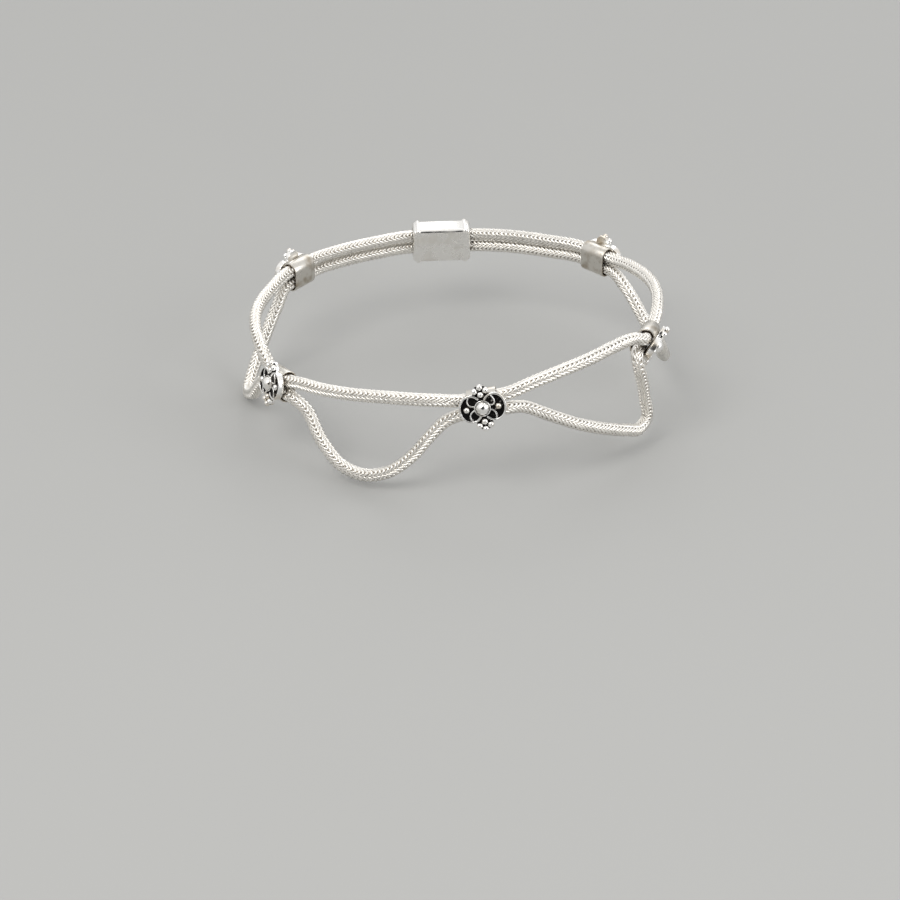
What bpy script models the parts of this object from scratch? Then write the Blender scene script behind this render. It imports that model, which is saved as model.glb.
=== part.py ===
"""Payal anklet: two woven silver chains, five flower ornaments and a clasp.

The loop stands as it is worn. +Z runs up the leg, +X along the longer way across
the loop, and the origin is the middle of the ankle that the loop goes round.
A station is a place on the loop where both chains pass through one fitting.
Its turn is the way it faces, in degrees round +Z from the front, which is -Y.
Each fitting is modelled about its own origin: +X along the chains, +Z up and
-Y outward, with the chains lying one above the other.
"""

import math
from typing import NamedTuple

import bmesh
import bpy
from mathutils import Matrix, Vector

MM = 0.001

# The loop, along the line midway between the two chains
LOOP_LENGTH = 79.6 * MM
LOOP_WIDTH = 68.0 * MM
WORN_RISE = 10.0 * MM
TAUT_LIFT = 2.4 * MM
SWAG_DROP = 14.0 * MM
SWAG_FLARE = 2.5 * MM

# The chains
STRAND_DIAMETER = 2.5 * MM
STRAND_GAP = 0.2 * MM
STRAND_PITCH = STRAND_DIAMETER + STRAND_GAP
STRAND_SIDE_STEPS = 2
STRAIGHT_LEAD = 0.8 * MM
LONGEST_STEP = 8.0 * MM
SHARPEST_STEP = math.radians(24)

# The sleeve behind each ornament, which both chains pass through
FIT_CLEARANCE = 0.25 * MM
SLEEVE_LENGTH = 5.6 * MM
SLEEVE_WALL = 0.3 * MM
SLEEVE_BORE = STRAND_DIAMETER / 2 + FIT_CLEARANCE
SLEEVE_END_STEPS = 6

# The plate and its rims. A level is a distance outward from the chains' axis.
PLATE_THICKNESS = 0.6 * MM
PLATE_BACK = SLEEVE_BORE + SLEEVE_WALL / 2
PLATE_FRONT = PLATE_BACK + PLATE_THICKNESS
RIM_HEIGHT = 0.9 * MM
RIM_THICKNESS = 0.4 * MM
LOBE_SPACING = 4.4 * MM
LOBE_WIDTH = 4.7 * MM
LOBE_HEIGHT = 5.6 * MM
LOBE_STEPS = 18

# The ring, its polished dome and the curved strips that spring from it
RING_DIAMETER = 3.3 * MM
RING_HEIGHT = 1.0 * MM
RING_STEPS = 12
DOME_DIAMETER = 2.9 * MM
DOME_HEIGHT = 1.7 * MM
DOME_STEPS = 12
DOME_ROWS = 5
STRIP_THICKNESS = 0.3 * MM
STRIP_HEIGHT = 0.7 * MM
STRIP_RADIUS = 1.03 * MM
STRIP_ACROSS = 1.42 * MM
STRIP_UP = 1.44 * MM
STRIP_FROM = math.radians(-80)
STRIP_TO = math.radians(58)
STRIP_STEPS = 3

# The beads
BEAD_DIAMETER = 1.2 * MM
BEAD_SEAT = 0.35 * MM
BEAD_STEPS = 10
BEAD_ROWS = 5
LOBE_BEAD_ACROSS = 3.05 * MM
CLUSTER_REACH = 4.05 * MM
CLUSTER_PAD_DIAMETER = 3.3 * MM
CLUSTER_PAD_STEPS = 12

# The clasp
CLASP_LENGTH = 12.0 * MM
CLASP_WALL = 0.9 * MM
CLASP_DEPTH = STRAND_DIAMETER + 2 * (FIT_CLEARANCE + CLASP_WALL)
CLASP_HEIGHT = STRAND_PITCH + CLASP_DEPTH
CLASP_ROUNDING = 0.6 * MM
CLASP_ROUNDING_STEPS = 2
SOCKET_DEPTH = 3.0 * MM
SOCKET_STEPS = 16

SHARP_EDGE = math.radians(35)

UPPER = 1
LOWER = -1


class Station(NamedTuple):
    """A fitting's place and attitude; height is a share of WORN_RISE."""

    name: str
    turn: float
    height: float
    yaw: float
    pitch: float
    roll: float


class Way(NamedTuple):
    """A point between two stations.

    Share is how far it lies from the first station to the second. Lift is its
    height over the line between them and flare how far it stands out from the
    loop, each as a share of the sizes that the span names.
    """

    share: float
    lift: float
    flare: float = 0.0


class Span(NamedTuple):
    """The ways of both chains from one station to the next."""

    upper: tuple
    lower: tuple


class Bead(NamedTuple):
    """A bead of the top cluster, in shares of CLUSTER_REACH."""

    across: float
    up: float


CLASP_STATION = Station("clasp", -176, 0.2, 0, 0, 0)

STATIONS = (
    Station("ornament_back_left", -130, 0.22, 0, 0, 0),
    Station("ornament_left", -55.2, -0.19, -8.8, 14, 12),
    Station("ornament_centre", 6.0, 0.33, -9, 16, 10.5),
    Station("ornament_right", 63, 0.59, 7, -27, -12),
    Station("ornament_back_right", 138, 0.35, 0, 0, 0),
)

BESIDE = (Way(0.35, 0.0), Way(0.65, 0.0))
TAUT = (Way(0.22, 0.25), Way(0.5, 0.55), Way(0.78, 0.25))
PLAIN_SWAG = (
    Way(0.19, -0.16, 0.0),
    Way(0.32, -0.55, 0.5),
    Way(0.5, -0.85, 1.0),
    Way(0.68, -0.55, 0.5),
    Way(0.81, -0.16, 0.0),
)

# From the clasp round the left, the front and the right, back to the clasp
SPANS = (
    Span(BESIDE, BESIDE),
    Span(
        (
            Way(0.22, 0.25),
            Way(0.5, 0.5, 0.18),
            Way(0.78, 0.2),
        ),
        (
            Way(0.19, -0.16, 0.0),
            Way(0.32, -0.58, 0.5),
            Way(0.5, -0.93, 1.0),
            Way(0.68, -0.66, 0.55),
            Way(0.81, -0.2, 0.0),
        ),
    ),
    Span(
        (
            Way(0.16, 0.2),
            Way(0.3, 0.28),
            Way(0.45, 0.37),
            Way(0.62, 0.45),
            Way(0.83, 0.2),
        ),
        (
            Way(0.19, -0.13, 0.0),
            Way(0.33, -0.525, 0.6),
            Way(0.44, -0.8, 0.95),
            Way(0.54, -0.9, 1.0),
            Way(0.64, -0.83, 0.9),
            Way(0.73, -0.6, 0.6),
            Way(0.8, -0.3, 0.3),
            Way(0.87, -0.08, 0.0),
        ),
    ),
    Span(
        (
            Way(0.22, 0.76),
            Way(0.36, 1.12),
            Way(0.51, 1.24),
            Way(0.66, 1.27, 0.05),
            Way(0.82, 0.96, 0.3),
        ),
        (
            Way(0.16, -0.02, 0.0),
            Way(0.29, -0.245, 0.2),
            Way(0.42, -0.485, 0.5),
            Way(0.58, -0.74, 0.7),
            Way(0.72, -0.935, 0.9),
            Way(0.84, -1.075, 1.0),
            Way(0.92, -1.03, 0.95),
            Way(0.906, -0.665, 0.76),
            Way(0.873, -0.444, 0.87),
            Way(0.843, -0.239, 0.88),
            Way(0.821, -0.077, 0.86),
            Way(0.82, 0.03, 0.71),
            Way(0.841, 0.09, 0.44),
        ),
    ),
    Span(TAUT, PLAIN_SWAG),
    Span(BESIDE, BESIDE),
)

CLUSTER = (Bead(0.0, 1.0), Bead(0.26, 0.83), Bead(-0.26, 0.83), Bead(0.0, 0.67))


def clear_scene():
    for item in list(bpy.data.objects):
        bpy.data.objects.remove(item, do_unlink=True)


def silver(name, colour, roughness):
    material = bpy.data.materials.new(name)
    material.use_nodes = True
    shader = material.node_tree.nodes["Principled BSDF"]
    shader.inputs["Base Color"].default_value = (*colour, 1.0)
    shader.inputs["Metallic"].default_value = 1.0
    shader.inputs["Roughness"].default_value = roughness
    return material


def add_object(name, data, material=None):
    item = bpy.data.objects.new(name, data)
    if material:
        data.materials.append(material)
    bpy.context.scene.collection.objects.link(item)
    return item


def hide(item):
    """Keeps a helper out of the finished object."""
    item.hide_render = True
    item.display_type = "WIRE"
    return item


# The loop and its stations


def loop_point(turn, flare=0.0):
    """The point of the loop that faces this way, moved outward by the flare."""
    angle = math.radians(turn)
    outward = Vector((math.sin(angle), -math.cos(angle), 0))
    half_length, half_width = LOOP_LENGTH / 2, LOOP_WIDTH / 2
    reach = math.hypot(half_length * outward.x, half_width * outward.y)
    point = Vector((half_length**2 * outward.x / reach, half_width**2 * outward.y / reach, 0))
    return point + outward * flare


def station_frame(station):
    """Takes a fitting from its own origin to its place on the loop."""
    place = loop_point(station.turn)
    place.z = station.height * WORN_RISE
    return (
        Matrix.Translation(place)
        @ Matrix.Rotation(math.radians(station.turn + station.yaw), 4, "Z")
        @ Matrix.Rotation(math.radians(-station.pitch), 4, "X")
        @ Matrix.Rotation(math.radians(-station.roll), 4, "Y")
    )


def stations_in_order():
    """All stations by rising turn, from the clasp round to the clasp again."""
    closing = CLASP_STATION._replace(turn=CLASP_STATION.turn + 360)
    return (CLASP_STATION, *STATIONS, closing)


# The chains' routes


def way_point(first, second, way, level):
    turn = first.turn + (second.turn - first.turn) * way.share
    height = first.height + (second.height - first.height) * way.share
    lift = way.lift * (TAUT_LIFT if level == UPPER else SWAG_DROP)
    point = loop_point(turn, way.flare * SWAG_FLARE)
    point.z = height * WORN_RISE + level * STRAND_PITCH / 2 + lift
    return point


def route_knots(level):
    """The points that a chain is laid through, from one socket to the other."""
    stations = stations_in_order()
    socket = CLASP_LENGTH / 2 - SOCKET_DEPTH + FIT_CLEARANCE
    clasp_end = CLASP_LENGTH / 2 + STRAIGHT_LEAD
    sleeve_end = SLEEVE_LENGTH / 2 + STRAIGHT_LEAD
    up = level * STRAND_PITCH / 2
    knots = []
    for index, station in enumerate(stations):
        frame = station_frame(station)
        if index == 0:
            offsets = (socket, clasp_end)
        elif index == len(stations) - 1:
            offsets = (-clasp_end, -socket)
        else:
            offsets = (-sleeve_end, -SLEEVE_LENGTH / 2, SLEEVE_LENGTH / 2, sleeve_end)
        knots += [frame @ Vector((along, 0, up)) for along in offsets]
        if index < len(SPANS):
            span = SPANS[index]
            ways = span.upper if level == UPPER else span.lower
            knots += [way_point(station, stations[index + 1], way, level) for way in ways]
    return knots


def knot_slopes(knots):
    """The direction of the smooth curve at each knot, per metre along it."""
    slopes = [(knots[1] - knots[0]).normalized()]
    for before, here, after in zip(knots, knots[1:], knots[2:]):
        back, ahead = here - before, after - here
        slope = back / back.length**2 + ahead / ahead.length**2
        slopes.append(slope * back.length * ahead.length / (back.length + ahead.length))
    slopes.append((knots[-1] - knots[-2]).normalized())
    return slopes


def curve_stretch(start, end, start_slope, end_slope, share):
    """A point of the cubic curve from start to end."""
    length = (end - start).length
    rest = 1 - share
    return (
        start * (rest * rest * (1 + 2 * share))
        + end * (share * share * (1 + 2 * rest))
        + start_slope * (length * rest * rest * share)
        - end_slope * (length * share * share * rest)
    )


def strand_points(level):
    """Points of the smooth curve through the knots, closer where it bends."""
    knots = route_knots(level)
    slopes = knot_slopes(knots)
    points = []
    for index in range(len(knots) - 1):
        start, end = knots[index], knots[index + 1]
        bend = slopes[index].angle(end - start) + slopes[index + 1].angle(end - start)
        steps = math.ceil(max((end - start).length / LONGEST_STEP, bend / SHARPEST_STEP, 1))
        for step in range(steps):
            share = step / steps
            points.append(curve_stretch(start, end, slopes[index], slopes[index + 1], share))
    return points + [knots[-1]]


def make_strand(name, level, material):
    curve = bpy.data.curves.new(name, "CURVE")
    curve.dimensions = "3D"
    curve.bevel_depth = STRAND_DIAMETER / 2
    curve.bevel_resolution = STRAND_SIDE_STEPS
    curve.use_fill_caps = True
    points = strand_points(level)
    spline = curve.splines.new("POLY")
    spline.points.add(len(points) - 1)
    for target, point in zip(spline.points, points):
        target.co = (*point, 1.0)
    return add_object(name, curve, material)


# Shapes that the ornament is soldered from


def oval(width, height, steps, across=0.0):
    """Corners of an ellipse as pairs of across and up."""
    angles = [2 * math.pi * step / steps for step in range(steps)]
    return [
        (across + width / 2 * math.cos(angle), height / 2 * math.sin(angle)) for angle in angles
    ]


def stadium(radius, straight, steps):
    """A slot's outline: two half circles, their centres `straight` apart."""
    corners = []
    for side in (1, -1):
        for step in range(steps + 1):
            angle = math.pi * step / steps
            corners.append(
                (side * radius * math.cos(angle), side * (straight / 2 + radius * math.sin(angle)))
            )
    return corners


def prism(name, corners, low, high):
    """A flat piece between two levels, from corners given as across and up."""
    mesh = bpy.data.meshes.new(name)
    shape = bmesh.new()
    face = shape.faces.new([shape.verts.new((x, -low, z)) for x, z in corners])
    raised = bmesh.ops.extrude_face_region(shape, geom=[face])
    tops = [item for item in raised["geom"] if isinstance(item, bmesh.types.BMVert)]
    bmesh.ops.translate(shape, verts=tops, vec=(0, low - high, 0))
    bmesh.ops.recalc_face_normals(shape, faces=shape.faces)
    shape.to_mesh(mesh)
    shape.free()
    return hide(add_object(name, mesh))


def tube(name, outer, inner, place):
    """A ring-shaped solid; place turns a corner and an end (0 or 1) into a point."""
    mesh = bpy.data.meshes.new(name)
    shape = bmesh.new()
    loops = [
        [shape.verts.new(place(corner, end)) for corner in corners]
        for corners, end in ((outer, 0), (outer, 1), (inner, 1), (inner, 0))
    ]
    for near, far in zip(loops, loops[1:] + loops[:1]):
        for index in range(len(near)):
            after = (index + 1) % len(near)
            shape.faces.new((near[index], near[after], far[after], far[index]))
    bmesh.ops.recalc_face_normals(shape, faces=shape.faces)
    shape.to_mesh(mesh)
    shape.free()
    return hide(add_object(name, mesh))


def rim(name, across):
    """The standing wall round one lobe."""
    inside = 2 * RIM_THICKNESS
    levels = (PLATE_BACK, PLATE_FRONT + RIM_HEIGHT)
    return tube(
        name,
        oval(LOBE_WIDTH, LOBE_HEIGHT, LOBE_STEPS, across),
        oval(LOBE_WIDTH - inside, LOBE_HEIGHT - inside, LOBE_STEPS, across),
        lambda corner, end: (corner[0], -levels[end], corner[1]),
    )


def sleeve():
    """The flat tube behind the plate: its bore fits round both chains."""
    half = SLEEVE_LENGTH / 2
    return tube(
        "sleeve",
        stadium(SLEEVE_BORE + SLEEVE_WALL, STRAND_PITCH, SLEEVE_END_STEPS),
        stadium(SLEEVE_BORE, STRAND_PITCH, SLEEVE_END_STEPS),
        lambda corner, end: (half if end else -half, corner[0], corner[1]),
    )


def round_boss(name, diameter, depth, level, place, steps, rows):
    """A ball or dome sunk in the plate, its middle at a level and a place."""
    deepest = level - (PLATE_FRONT - PLATE_THICKNESS / 2)
    mesh = bpy.data.meshes.new(name)
    shape = bmesh.new()
    bmesh.ops.create_uvsphere(shape, u_segments=steps, v_segments=rows, radius=diameter / 2)
    bmesh.ops.rotate(shape, verts=shape.verts, matrix=Matrix.Rotation(math.radians(90), 3, "X"))
    bmesh.ops.scale(shape, verts=shape.verts, vec=(1, 2 * depth / diameter, 1))
    for vert in shape.verts:
        vert.co.y = min(vert.co.y, deepest)
    bmesh.ops.translate(shape, verts=shape.verts, vec=(place[0], -level, place[1]))
    shape.to_mesh(mesh)
    shape.free()
    return hide(add_object(name, mesh))


def strip(name, side, rise):
    """One curved strip, in the quarter of the ornament that side and rise name."""
    middle = STRIP_RADIUS - STRIP_THICKNESS / 2
    corners = []
    for radius, order in ((middle, 1), (middle + STRIP_THICKNESS, -1)):
        for step in range(STRIP_STEPS + 1)[::order]:
            angle = STRIP_FROM + (STRIP_TO - STRIP_FROM) * step / STRIP_STEPS
            across = STRIP_ACROSS + radius * math.cos(angle)
            up = STRIP_UP + radius * math.sin(angle)
            corners.append((side * across, rise * up))
    return prism(name, corners, PLATE_FRONT - PLATE_THICKNESS / 2, PLATE_FRONT + STRIP_HEIGHT)


def bead(name, across, up):
    level = PLATE_FRONT + BEAD_SEAT
    return round_boss(
        name, BEAD_DIAMETER, BEAD_DIAMETER / 2, level, (across, up), BEAD_STEPS, BEAD_ROWS
    )


def cluster_pad(name, rise):
    """The part of the plate under one cluster of beads."""
    middle = CLUSTER_REACH - CLUSTER_PAD_DIAMETER / 2 + BEAD_DIAMETER / 4
    corners = [
        (x, rise * (middle + z))
        for x, z in oval(CLUSTER_PAD_DIAMETER, CLUSTER_PAD_DIAMETER, CLUSTER_PAD_STEPS)
    ]
    return prism(name, corners, PLATE_BACK, PLATE_FRONT)


def ornament_pieces():
    """Everything that is soldered to the sleeve."""
    pieces = [
        prism(
            "ring",
            oval(RING_DIAMETER, RING_DIAMETER, RING_STEPS),
            PLATE_BACK,
            PLATE_FRONT + RING_HEIGHT,
        ),
        round_boss(
            "dome",
            DOME_DIAMETER,
            DOME_HEIGHT,
            PLATE_FRONT,
            (0, 0),
            DOME_STEPS,
            DOME_ROWS,
        ),
    ]
    for side in (1, -1):
        across = side * LOBE_SPACING / 2
        lobe = oval(LOBE_WIDTH - RIM_THICKNESS, LOBE_HEIGHT - RIM_THICKNESS, LOBE_STEPS, across)
        pieces.append(prism(f"lobe_{side}", lobe, PLATE_BACK, PLATE_FRONT))
        pieces.append(rim(f"rim_{side}", across))
        pieces.append(bead(f"lobe_bead_{side}", side * LOBE_BEAD_ACROSS, 0))
        pieces.append(cluster_pad(f"pad_{side}", side))
        for index, spot in enumerate(CLUSTER):
            name = f"cluster_bead_{side}_{index}"
            pieces.append(bead(name, spot.across * CLUSTER_REACH, side * spot.up * CLUSTER_REACH))
        for rise in (1, -1):
            pieces.append(strip(f"strip_{side}_{rise}", side, rise))
    return pieces


def soldered_mesh(name, base, pieces, material):
    """One mesh of the base and all the pieces that overlap it."""
    group = bpy.data.collections.new(name)
    for piece in pieces:
        group.objects.link(piece)
    solder = base.modifiers.new("solder", "BOOLEAN")
    solder.operation = "UNION"
    solder.operand_type = "COLLECTION"
    solder.collection = group
    solder.solver = "EXACT"
    graph = bpy.context.evaluated_depsgraph_get()
    mesh = bpy.data.meshes.new_from_object(base.evaluated_get(graph))
    mesh.name = name
    mesh.materials.clear()
    mesh.materials.append(material)
    mesh.shade_smooth()
    mesh.set_sharp_from_angle(angle=SHARP_EDGE)
    for helper in (base, *pieces):
        bpy.data.objects.remove(helper, do_unlink=True)
    bpy.data.collections.remove(group)
    return mesh


def make_ornaments(material):
    mesh = soldered_mesh("ornament", sleeve(), ornament_pieces(), material)
    for station in STATIONS:
        item = bpy.data.objects.new(station.name, mesh)
        bpy.context.scene.collection.objects.link(item)
        item.matrix_world = station_frame(station)


# The clasp


def socket_cutter(side, level, frame):
    """The hole that one chain end goes into."""
    mesh = bpy.data.meshes.new("socket")
    shape = bmesh.new()
    bmesh.ops.create_cone(
        shape,
        cap_ends=True,
        segments=SOCKET_STEPS,
        radius1=STRAND_DIAMETER / 2 + FIT_CLEARANCE,
        radius2=STRAND_DIAMETER / 2 + FIT_CLEARANCE,
        depth=2 * SOCKET_DEPTH,
    )
    bmesh.ops.rotate(shape, verts=shape.verts, matrix=Matrix.Rotation(math.radians(90), 3, "Y"))
    mouth = (side * CLASP_LENGTH / 2, 0, level * STRAND_PITCH / 2)
    bmesh.ops.translate(shape, verts=shape.verts, vec=mouth)
    shape.to_mesh(mesh)
    shape.free()
    cutter = hide(add_object(f"socket_{side}_{level}", mesh))
    cutter.matrix_world = frame
    return cutter


def make_clasp(material):
    """A plain rounded box whose ends take the four chain ends."""
    mesh = bpy.data.meshes.new("clasp")
    shape = bmesh.new()
    bmesh.ops.create_cube(shape, size=1)
    bmesh.ops.scale(shape, verts=shape.verts, vec=(CLASP_LENGTH, CLASP_DEPTH, CLASP_HEIGHT))
    shape.to_mesh(mesh)
    shape.free()
    clasp = add_object("clasp", mesh, material)
    frame = station_frame(CLASP_STATION)
    clasp.matrix_world = frame
    rounding = clasp.modifiers.new("rounding", "BEVEL")
    rounding.width = CLASP_ROUNDING
    rounding.segments = CLASP_ROUNDING_STEPS
    for side in (1, -1):
        for level in (UPPER, LOWER):
            cut = clasp.modifiers.new(f"socket_{side}_{level}", "BOOLEAN")
            cut.operation = "DIFFERENCE"
            cut.solver = "EXACT"
            cut.object = socket_cutter(side, level, frame)


def main():
    clear_scene()
    chain_silver = silver("chain_silver", (0.86, 0.84, 0.80), 0.32)
    polished_silver = silver("polished_silver", (0.90, 0.89, 0.87), 0.18)
    make_strand("strand_upper", UPPER, chain_silver)
    make_strand("strand_lower", LOWER, chain_silver)
    make_ornaments(polished_silver)
    make_clasp(polished_silver)


if __name__ == "__main__":
    main()
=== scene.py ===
"""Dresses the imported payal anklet: woven silver chains, flower ornaments and clasp."""

import logging
import math
from dataclasses import dataclass, replace
from enum import Enum
from typing import Callable

import bpy
import numpy as np
from mathutils import Matrix, Vector


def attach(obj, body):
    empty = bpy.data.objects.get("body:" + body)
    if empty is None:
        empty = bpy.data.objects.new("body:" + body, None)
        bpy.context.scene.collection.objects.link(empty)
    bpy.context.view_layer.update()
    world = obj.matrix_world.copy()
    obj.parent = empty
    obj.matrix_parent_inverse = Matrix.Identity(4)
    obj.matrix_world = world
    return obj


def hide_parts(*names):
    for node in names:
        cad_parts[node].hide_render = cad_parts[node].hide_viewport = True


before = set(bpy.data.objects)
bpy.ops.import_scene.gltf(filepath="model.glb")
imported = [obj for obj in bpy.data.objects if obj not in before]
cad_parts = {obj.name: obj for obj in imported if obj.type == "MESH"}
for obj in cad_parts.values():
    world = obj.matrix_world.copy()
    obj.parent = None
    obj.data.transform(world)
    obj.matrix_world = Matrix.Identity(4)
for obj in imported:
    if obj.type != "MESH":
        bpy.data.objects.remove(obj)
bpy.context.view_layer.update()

MM = 0.001
log = logging.getLogger("anklet")

Pair = tuple[float, float]
Colour = tuple[float, float, float]
Material = bpy.types.Material
Object = bpy.types.Object
Shader = bpy.types.Node
Socket = bpy.types.NodeSocket
Tree = bpy.types.NodeTree

# Where a Mix node keeps its colours
MIX_FIRST, MIX_SECOND, MIX_RESULT = 6, 7, 2


class Level(Enum):
    """Which of the two chains, by its place in the sleeves."""

    UPPER = 1
    LOWER = -1


class Cut(Enum):
    """What a tool does to a piece."""

    ADD = "UNION"
    TAKE = "DIFFERENCE"


# Finishes: scales are noise cells to a metre, and each spread is added to the roughness


@dataclass(frozen=True)
class WovenFinish:
    """Satin silver wire, with painted shade that darkens it towards the heart of the weave."""

    name: str = "woven_silver"
    wire: Colour = (0.95, 0.925, 0.875)
    between: Colour = (0.68, 0.62, 0.55)
    shade: Colour = (0.17, 0.135, 0.1)
    between_at: float = 0.45
    wire_at: float = 0.78
    roughness: float = 0.34
    spread: Pair = (-0.08, 0.1)
    wear_scale: float = 900.0
    worn: Pair = (0.3, 0.7)
    dent: float = 0.00004
    dent_strength: float = 0.5

    def material(self) -> Material:
        """Make the node material.

        Returns:
            The material, which reads the attributes depth and sheen.
        """
        material, tree, shader = new_material(self.name)
        # The depth ramp is painted shade: wire nearer the chain's axis, down in the crevices, gets darker
        # colours.
        stops = ((0.0, self.shade), (self.between_at, self.between), (self.wire_at, self.wire))
        ramp = colour_ramp(tree, attribute(tree, "depth"), stops)
        tint = multiply(tree, ramp, attribute(tree, "sheen", "Color"))
        tree.links.new(tint, shader.inputs["Base Color"])
        wear = noise(tree, self.wear_scale)
        roughen(shader, wear, self.worn, self.roughness, self.spread)
        bump(shader, wear, self.dent, self.dent_strength)
        return material


@dataclass(frozen=True)
class PolishedFinish:
    """Bright silver with fine scratches and a trace of tarnish."""

    name: str = "polished_silver"
    bright: Colour = (0.955, 0.945, 0.925)
    tarnish: Colour = (0.72, 0.66, 0.57)
    roughness: float = 0.16
    spread: Pair = (0.1, -0.05)
    tarnish_to: float = 0.33
    bright_from: float = 0.52
    stain_scale: float = 420.0
    stain_detail: float = 5.0
    stained: Pair = (0.35, 0.65)
    scratch_scale: float = 2600.0
    scratch_detail: float = 2.0
    scratch: float = 0.00002
    scratch_strength: float = 0.35

    def material(self) -> Material:
        """Make the node material.

        Returns:
            The material, on object coordinates.
        """
        material, tree, shader = new_material(self.name)
        stain = noise(tree, self.stain_scale, self.stain_detail)
        stops = ((self.tarnish_to, self.tarnish), (self.bright_from, self.bright))
        tree.links.new(colour_ramp(tree, stain, stops), shader.inputs["Base Color"])
        roughen(shader, stain, self.stained, self.roughness, self.spread)
        scratches = noise(tree, self.scratch_scale, self.scratch_detail)
        bump(shader, scratches, self.scratch, self.scratch_strength)
        return material


@dataclass(frozen=True)
class BlackenedFinish:
    """The oxidised floor of the recesses, black with a few rubbed specks."""

    name: str = "blackened_silver"
    black: Colour = (0.0025, 0.002, 0.002)
    rubbed: Colour = (0.34, 0.32, 0.3)
    black_to: float = 0.62
    rubbed_from: float = 0.7
    roughness: float = 0.5
    spread: Pair = (0.0, -0.15)
    specular: float = 0.12
    speck_scale: float = 2000.0
    speck_detail: float = 3.0
    specked: Pair = (0.6, 0.8)
    grain: float = 0.00006
    grain_strength: float = 0.6

    def material(self) -> Material:
        """Make the node material.

        Returns:
            The material, on object coordinates.
        """
        material, tree, shader = new_material(self.name, 0.0)
        speck = noise(tree, self.speck_scale, self.speck_detail)
        stops = ((self.black_to, self.black), (self.rubbed_from, self.rubbed))
        tree.links.new(colour_ramp(tree, speck, stops), shader.inputs["Base Color"])
        roughen(shader, speck, self.specked, self.roughness, self.spread)
        bump(shader, speck, self.grain, self.grain_strength)
        shader.inputs["Specular IOR Level"].default_value = self.specular
        return material


@dataclass(frozen=True)
class PlainFinish:
    """A finish of two close colours, mottled by noise."""

    name: str
    colour: Colour
    second: Colour
    roughness: float
    scale: float
    metallic: float = 0.0
    mixed: Pair = (0.35, 0.65)
    mottled: Pair = (0.3, 0.7)
    spread: Pair = (-0.05, 0.05)
    grain: float = 0.00002
    grain_strength: float = 0.4

    def material(self) -> Material:
        """Make the node material.

        Returns:
            The material, on object coordinates.
        """
        material, tree, shader = new_material(self.name, self.metallic)
        mottle = noise(tree, self.scale)
        stops = tuple(zip(self.mixed, (self.colour, self.second)))
        tree.links.new(colour_ramp(tree, mottle, stops), shader.inputs["Base Color"])
        roughen(shader, mottle, self.mottled, self.roughness, self.spread)
        bump(shader, mottle, self.grain, self.grain_strength)
        return material


def new_material(name: str, metallic: float = 1.0) -> tuple[Material, Tree, Shader]:
    """Start a material with one Principled shader.

    Args:
        name: The material's name.
        metallic: How far it is a metal, from 0 to 1.

    Returns:
        The material, its node tree and the shader.
    """
    material = bpy.data.materials.new(name)
    material.use_nodes = True
    tree = material.node_tree
    shader = tree.nodes["Principled BSDF"]
    shader.inputs["Metallic"].default_value = metallic
    return material, tree, shader


def attribute(tree: Tree, name: str, output: str = "Fac") -> Socket:
    """Read an attribute of the mesh.

    Args:
        tree: The node tree.
        name: The attribute.
        output: The socket of the node to use.

    Returns:
        The attribute's value.
    """
    node = tree.nodes.new("ShaderNodeAttribute")
    node.attribute_name = name
    return node.outputs[output]


def noise(tree: Tree, scale: float, detail: float = 4.0) -> Socket:
    """Add noise on object coordinates.

    Args:
        tree: The node tree.
        scale: Noise cells to a metre.
        detail: Octaves.

    Returns:
        The noise value.
    """
    place = tree.nodes.new("ShaderNodeTexCoord")
    node = tree.nodes.new("ShaderNodeTexNoise")
    node.inputs["Scale"].default_value = scale
    node.inputs["Detail"].default_value = detail
    tree.links.new(place.outputs["Object"], node.inputs["Vector"])
    return node.outputs["Fac"]


def colour_ramp(tree: Tree, value: Socket, stops: tuple[tuple[float, Colour], ...]) -> Socket:
    """Turn a value into a colour.

    Args:
        tree: The node tree.
        value: The value to read.
        stops: Places from 0 to 1, each with its colour.

    Returns:
        The colour.
    """
    node = tree.nodes.new("ShaderNodeValToRGB")
    elements = node.color_ramp.elements
    while len(elements) < len(stops):
        elements.new(0.5)
    for element, (place, colour) in zip(elements, stops):
        element.position = place
        element.color = (*colour, 1.0)
    tree.links.new(value, node.inputs["Fac"])
    return node.outputs["Color"]


def multiply(tree: Tree, first: Socket, second: Socket) -> Socket:
    """Multiply two colours.

    Args:
        tree: The node tree.
        first: One colour.
        second: The other.

    Returns:
        The product.
    """
    node = tree.nodes.new("ShaderNodeMix")
    node.data_type = "RGBA"
    node.blend_type = "MULTIPLY"
    node.inputs["Factor"].default_value = 1.0
    tree.links.new(first, node.inputs[MIX_FIRST])
    tree.links.new(second, node.inputs[MIX_SECOND])
    return node.outputs[MIX_RESULT]


def map_range(tree: Tree, value: Socket, source: Pair, target: Pair) -> Socket:
    """Scale a value from one range to another.

    Args:
        tree: The node tree.
        value: The value to read.
        source: The range it comes in.
        target: The range it goes out in.

    Returns:
        The scaled value.
    """
    node = tree.nodes.new("ShaderNodeMapRange")
    node.inputs["From Min"].default_value, node.inputs["From Max"].default_value = source
    node.inputs["To Min"].default_value, node.inputs["To Max"].default_value = target
    tree.links.new(value, node.inputs["Value"])
    return node.outputs["Result"]


def roughen(shader: Shader, value: Socket, source: Pair, middle: float, spread: Pair) -> None:
    """Let a noise value set the roughness.

    Args:
        shader: The material's shader.
        value: The noise value.
        source: The values between which the roughness changes.
        middle: The finish's roughness.
        spread: What is added to it at each end.
    """
    tree = shader.id_data
    target = (middle + spread[0], middle + spread[1])
    tree.links.new(map_range(tree, value, source, target), shader.inputs["Roughness"])


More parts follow.
